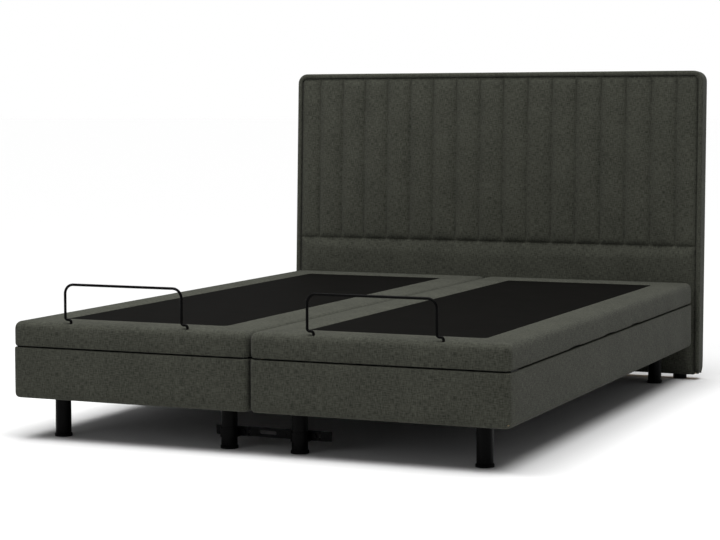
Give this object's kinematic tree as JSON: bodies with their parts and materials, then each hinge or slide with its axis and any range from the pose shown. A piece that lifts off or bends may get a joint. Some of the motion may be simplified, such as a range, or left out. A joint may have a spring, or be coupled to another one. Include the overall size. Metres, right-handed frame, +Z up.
{
  "type": "adjustable bed base",
  "caption": "Upholstered adjustable bed base of two joined motorised bases with folding deck sections, a channelled headboard and mattress retainers.",
  "frame": {"origin": "on the floor, below the centre of the whole bed's box", "axes": "+X to the right seen from the foot end, +Y from the foot end to the headboard, +Z up"},
  "size_m": [1.64, 2.1206, 1.1361],
  "materials": {
    "upholstery": "dark grey woven upholstery",
    "timber": "planed softwood",
    "plywood": "birch plywood",
    "black_cloth": "black nonwoven cloth",
    "black_steel": "satin black powder coat",
    "frame_steel": "dark grey powder coat",
    "zinc": "zinc plated",
    "black_plastic": "moulded black plastic",
    "white_plastic": "natural nylon"
  },
  "bodies": {
    "root": {"box_frame_left": "timber", "box_frame_right": "timber", "box_cover_left": "upholstery", "box_cover_right": "upholstery", "subframe_left": "frame_steel", "subframe_right": "frame_steel", "drive_housing_left": "black_plastic", "drive_housing_right": "black_plastic", "drive_cover_left": "black_plastic", "drive_cover_right": "black_plastic", "seat_board_left": "plywood", "seat_board_right": "plywood", "seat_pad_left": "upholstery", "seat_pad_right": "upholstery", "dust_covers": "black_cloth", "legs": "black_steel", "leg_caps": "black_plastic", "leg_nuts": "zinc", "hinge_pins": "zinc", "control_box": "black_plastic", "cable_gland": "black_plastic", "connector_bar": "black_steel", "connector_clamps": "black_steel", "connector_screws": "black_steel", "headboard_frame": "timber", "headboard_front": "plywood", "headboard_cushion": "upholstery", "headboard_border": "upholstery", "headboard_back_cloth": "black_cloth", "headboard_feet": "black_plastic", "headboard_spacers": "black_plastic", "headboard_screws": "zinc"},
    "back_left": {"back_frame_left": "frame_steel", "back_board_left": "plywood", "back_pad_left": "upholstery"},
    "thigh_left": {"thigh_frame_left": "frame_steel", "thigh_board_left": "plywood", "thigh_pad_left": "upholstery", "knee_pins_left": "zinc"},
    "calf_left": {"calf_frame_left": "frame_steel", "calf_board_left": "plywood", "calf_pad_left": "upholstery", "calf_glides_left": "black_plastic", "retainer_left": "black_steel"},
    "back_pusher_left": {"back_pusher_left": "white_plastic"},
    "leg_pusher_left": {"leg_pusher_left": "white_plastic"},
    "back_right": {"back_frame_right": "frame_steel", "back_board_right": "plywood", "back_pad_right": "upholstery"},
    "thigh_right": {"thigh_frame_right": "frame_steel", "thigh_board_right": "plywood", "thigh_pad_right": "upholstery", "knee_pins_right": "zinc"},
    "calf_right": {"calf_frame_right": "frame_steel", "calf_board_right": "plywood", "calf_pad_right": "upholstery", "calf_glides_right": "black_plastic", "retainer_right": "black_steel"},
    "back_pusher_right": {"back_pusher_right": "white_plastic"},
    "leg_pusher_right": {"leg_pusher_right": "white_plastic"}
  },
  "joints": [
    {"name": "back_hinge_left", "type": "hinge", "parent": "root", "child": "back_left", "pos_m": [-0.401, 0.1896, 0.3], "axis": [1, 0, 0], "range_deg": [0, 60]},
    {"name": "thigh_hinge_left", "type": "hinge", "parent": "root", "child": "thigh_left", "pos_m": [-0.401, -0.11039, 0.3], "axis": [-1, 0, 0], "range_deg": [0, 35]},
    {"name": "knee_hinge_left", "type": "hinge", "parent": "thigh_left", "child": "calf_left", "pos_m": [-0.401, -0.46039, 0.3], "axis": [-1, 0, 0], "range_deg": [-55, 0]},
    {"name": "back_pusher_slide_left", "type": "slide", "parent": "root", "child": "back_pusher_left", "axis": [0, 1, 0], "range_m": [0, 0.1101]},
    {"name": "leg_pusher_slide_left", "type": "slide", "parent": "root", "child": "leg_pusher_left", "axis": [0, -1, 0], "range_m": [0, 0.0663]},
    {"name": "back_hinge_right", "type": "hinge", "parent": "root", "child": "back_right", "pos_m": [0.401, 0.1896, 0.3], "axis": [1, 0, 0], "range_deg": [0, 60]},
    {"name": "thigh_hinge_right", "type": "hinge", "parent": "root", "child": "thigh_right", "pos_m": [0.401, -0.11039, 0.3], "axis": [-1, 0, 0], "range_deg": [0, 35]},
    {"name": "knee_hinge_right", "type": "hinge", "parent": "thigh_right", "child": "calf_right", "pos_m": [0.401, -0.46039, 0.3], "axis": [-1, 0, 0], "range_deg": [-55, 0]},
    {"name": "back_pusher_slide_right", "type": "slide", "parent": "root", "child": "back_pusher_right", "axis": [0, 1, 0], "range_m": [0, 0.1101]},
    {"name": "leg_pusher_slide_right", "type": "slide", "parent": "root", "child": "leg_pusher_right", "axis": [0, -1, 0], "range_m": [0, 0.0663]}
  ],
  "couplings": [
    {"joint": "knee_hinge_left", "follows": "thigh_hinge_left", "ratio": -1.56},
    {"joint": "back_pusher_slide_left", "follows": "back_hinge_left", "m_per_rad": 0.10504},
    {"joint": "leg_pusher_slide_left", "follows": "thigh_hinge_left", "m_per_rad": 0.1083},
    {"joint": "knee_hinge_right", "follows": "thigh_hinge_right", "ratio": -1.56},
    {"joint": "back_pusher_slide_right", "follows": "back_hinge_right", "m_per_rad": 0.10504},
    {"joint": "leg_pusher_slide_right", "follows": "thigh_hinge_right", "m_per_rad": 0.1083}
  ]
}
